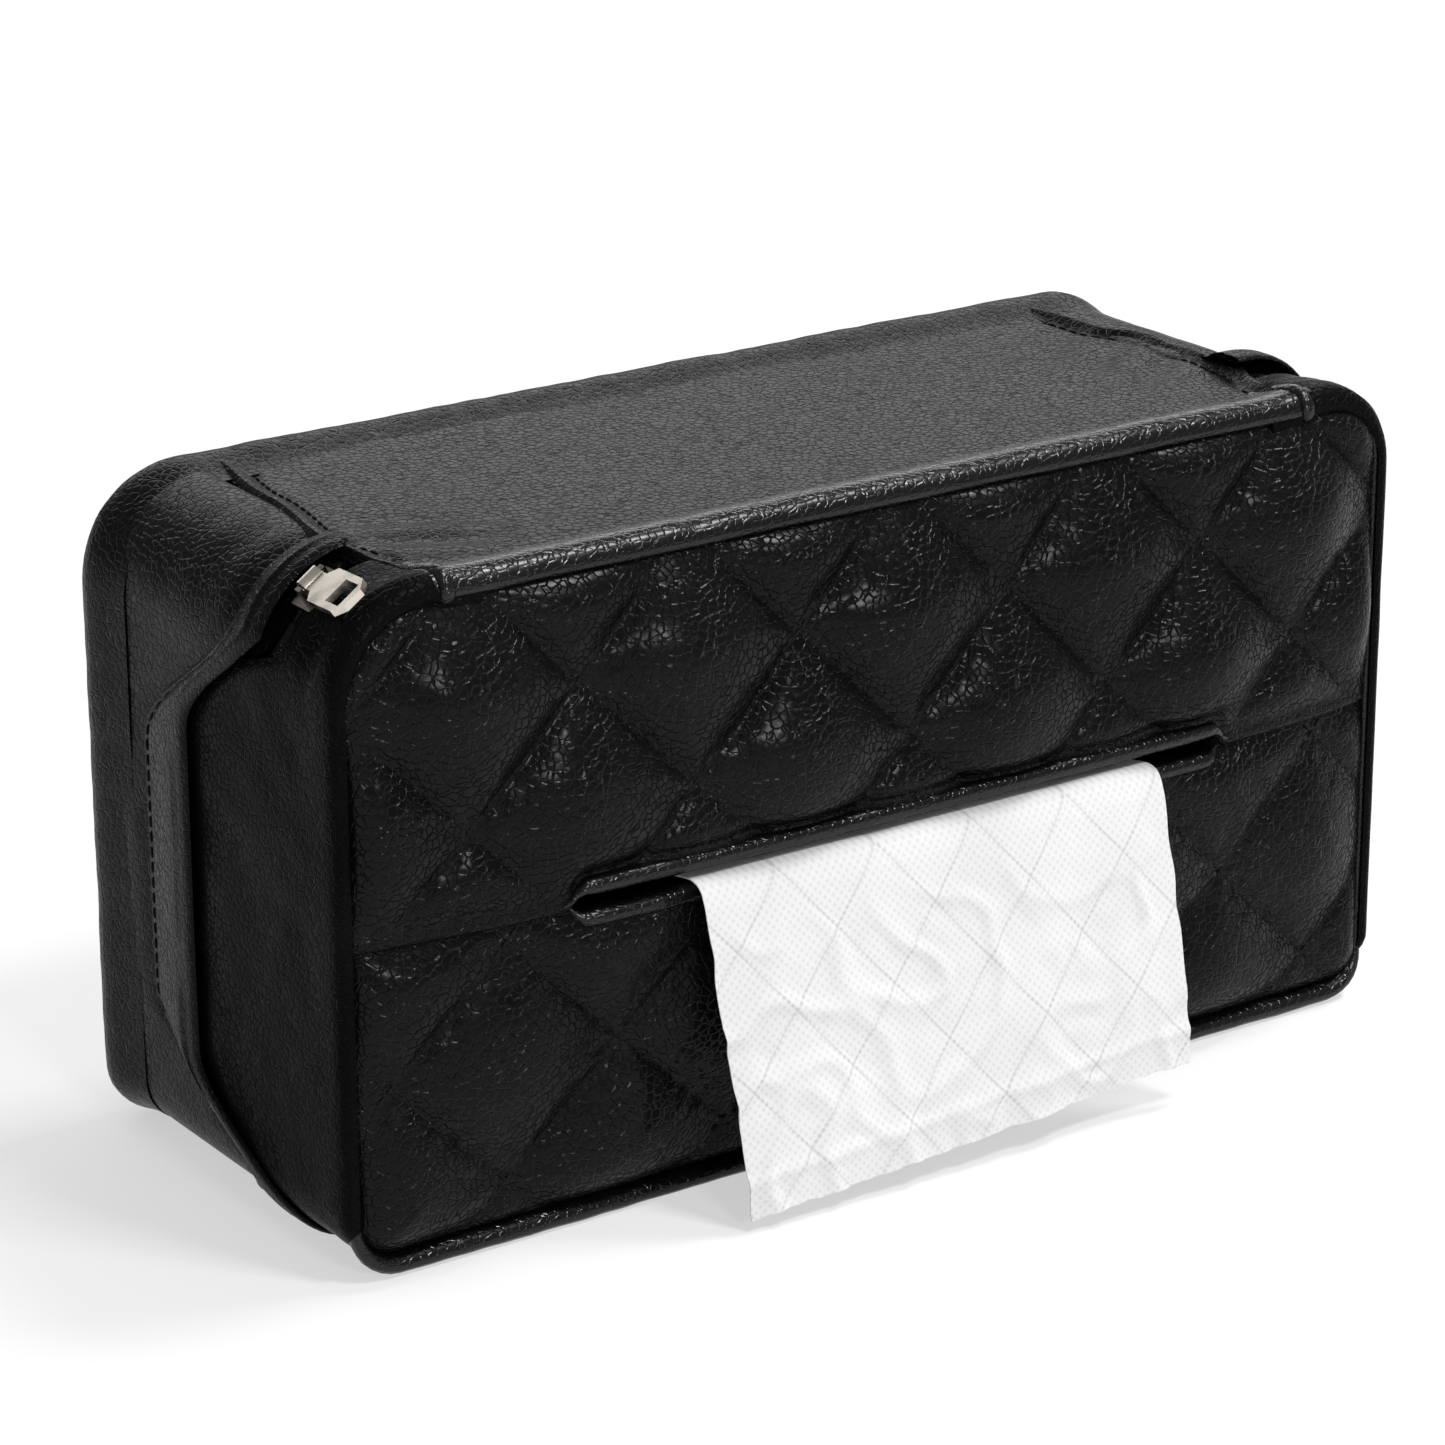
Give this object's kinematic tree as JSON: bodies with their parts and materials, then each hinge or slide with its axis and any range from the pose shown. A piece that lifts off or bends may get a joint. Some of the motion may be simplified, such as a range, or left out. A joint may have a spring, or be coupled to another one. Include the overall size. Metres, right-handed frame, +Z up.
{
  "type": "quilted leather tissue case",
  "caption": "Soft clamshell tissue case in black quilted leather: slot in the padded front face, zip under a flap round both ends and the bottom, leather hinge along the top.",
  "frame": {"origin": "on the resting face, midway between the two ends and between the front and back rims", "axes": "+Z up, +X along the case to the viewer's right, slot face towards -Y"},
  "size_m": [0.24, 0.1188, 0.1293],
  "materials": {
    "black_leather": "pebbled, satin",
    "grey_lining": "woven",
    "card": "pressed card",
    "zip_tape": "woven",
    "nylon_coil": "satin",
    "nickel": "nickel plated",
    "tissue": "embossed paper"
  },
  "bodies": {
    "rear_shell": {"rear_gusset": "black_leather", "rear_gusset_lining": "grey_lining", "zipper_tape_rear": "zip_tape", "zipper_teeth_rear": "nylon_coil", "zipper_flap": "black_leather", "back_rim": "black_leather", "back_panel": "black_leather", "back_board": "card", "back_lining": "grey_lining", "top_panel_rear": "black_leather", "tissue_pack": "tissue"},
    "front_shell": {"front_rim": "black_leather", "front_panel_upper": "black_leather", "front_panel_lower": "black_leather", "slot_lip_upper": "black_leather", "slot_lip_lower": "black_leather", "front_board": "card", "front_lining": "grey_lining", "front_gusset": "black_leather", "front_gusset_lining": "grey_lining", "top_panel_front": "black_leather", "zipper_tape_front": "zip_tape", "zipper_teeth_front": "nylon_coil", "zipper_top_stop": "nickel"},
    "zip_slider": {"zipper_slider": "nickel"},
    "zip_pull": {"zipper_pull": "nickel"},
    "drawn_tissue": {"tissue_sheet": "tissue"}
  },
  "joints": [
    {"name": "front_open", "type": "hinge", "parent": "rear_shell", "child": "front_shell", "pos_m": [0, -0.027, 0.1275], "axis": [-1, 0, 0], "range_deg": [0, 120]},
    {"name": "slider_run", "type": "hinge", "parent": "front_shell", "child": "zip_slider", "pos_m": [-0.0985, -0.027, 0.1075], "axis": [0, -1, 0], "range_deg": [-9, 14]},
    {"name": "pull_swing", "type": "hinge", "parent": "zip_slider", "child": "zip_pull", "pos_m": [-0.11123, -0.027, 0.12568], "axis": [-0.8192, 0, -0.5736], "range_deg": [0, 140]},
    {"name": "tissue_draw", "type": "slide", "parent": "front_shell", "child": "drawn_tissue", "axis": [0, -1, 0], "range_m": [0, 0.045]}
  ]
}
